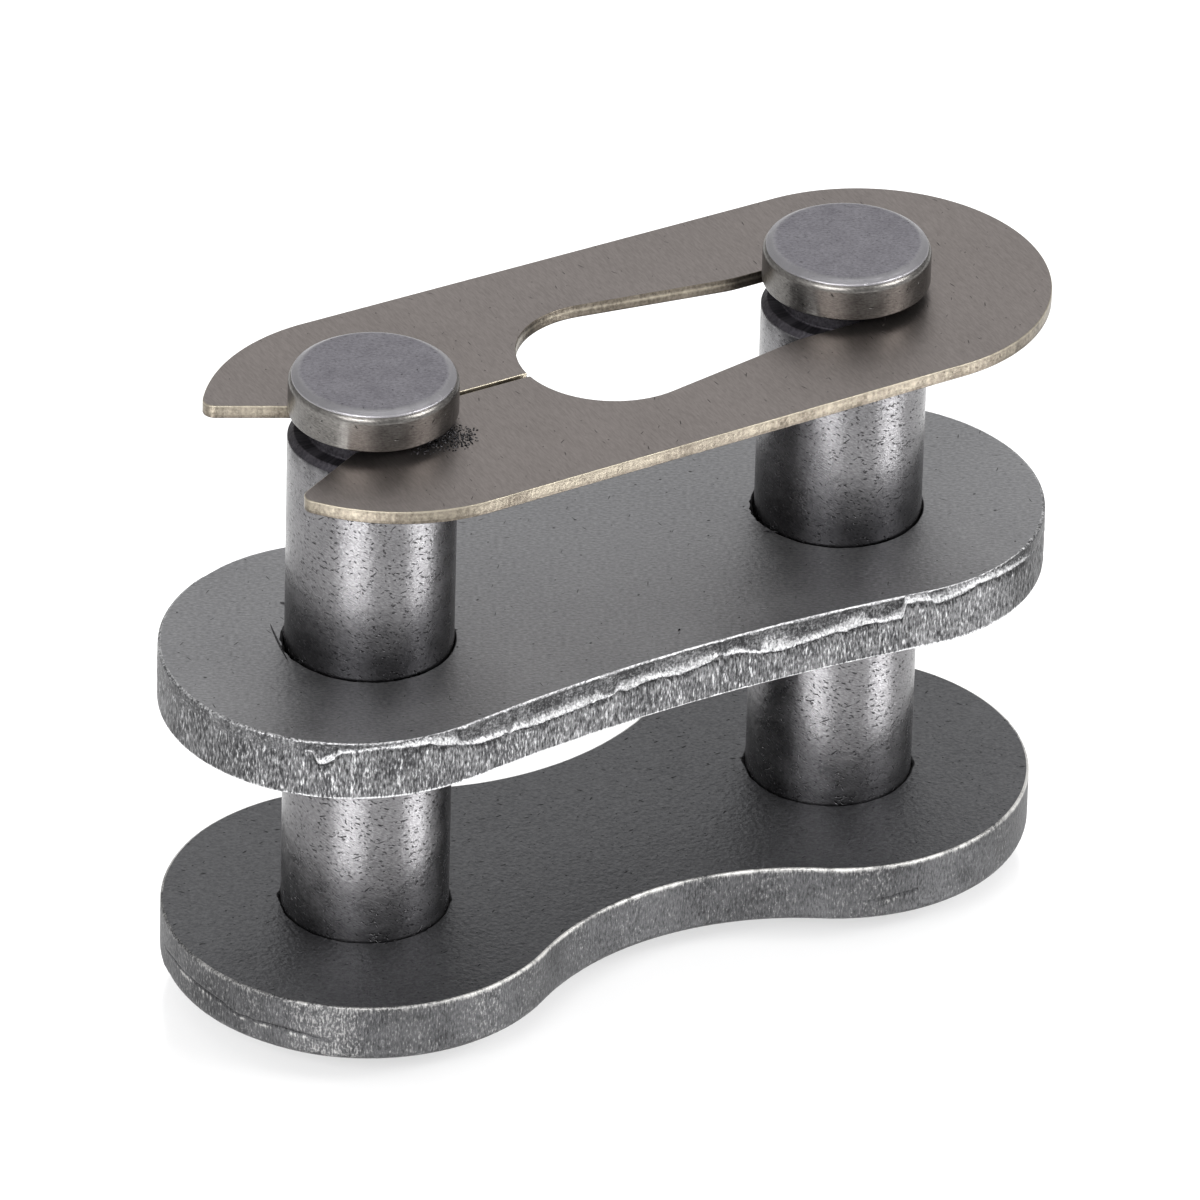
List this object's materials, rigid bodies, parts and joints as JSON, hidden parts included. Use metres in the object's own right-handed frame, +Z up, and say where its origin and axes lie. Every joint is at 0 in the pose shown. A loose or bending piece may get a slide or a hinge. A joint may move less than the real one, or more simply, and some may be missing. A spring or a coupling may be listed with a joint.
{
  "type": "roller chain connecting link",
  "caption": "Roller chain connecting link with a waisted fixed plate, a sliding cover plate, grooved pins and a flat spring clip that locks under the pin heads.",
  "frame": {"origin": "midway between the two pin axes, in the plane of the riveted pin ends that the link stands on", "axes": "+X along the pitch, from the pin at the clip's open end to the pin at its closed end; +Y across the plates; +Z up the pins, from the fixed plate to the pin heads"},
  "size_m": [0.0226, 0.0096, 0.0166],
  "materials": {
    "plate_steel": "dark heat-treated satin, with bright sheared edges",
    "pin_steel": "hardened and ground, dark grey",
    "clip_steel": "brushed spring steel with a warm brown-grey temper"
  },
  "bodies": {
    "link": {"fixed_plate": "plate_steel", "left_pin": "pin_steel", "right_pin": "pin_steel"},
    "cover": {"cover_plate": "plate_steel"},
    "clip": {"spring_clip": "clip_steel"}
  },
  "joints": [
    {"name": "cover_plate_slide", "type": "slide", "parent": "link", "child": "cover", "axis": [0, 0, 1], "range_m": [-0.00565, 0.00555]},
    {"name": "spring_clip_slide", "type": "slide", "parent": "link", "child": "clip", "axis": [1, 0, 0], "range_m": [0, 0.00635], "deforming": ["spring_clip"]}
  ]
}
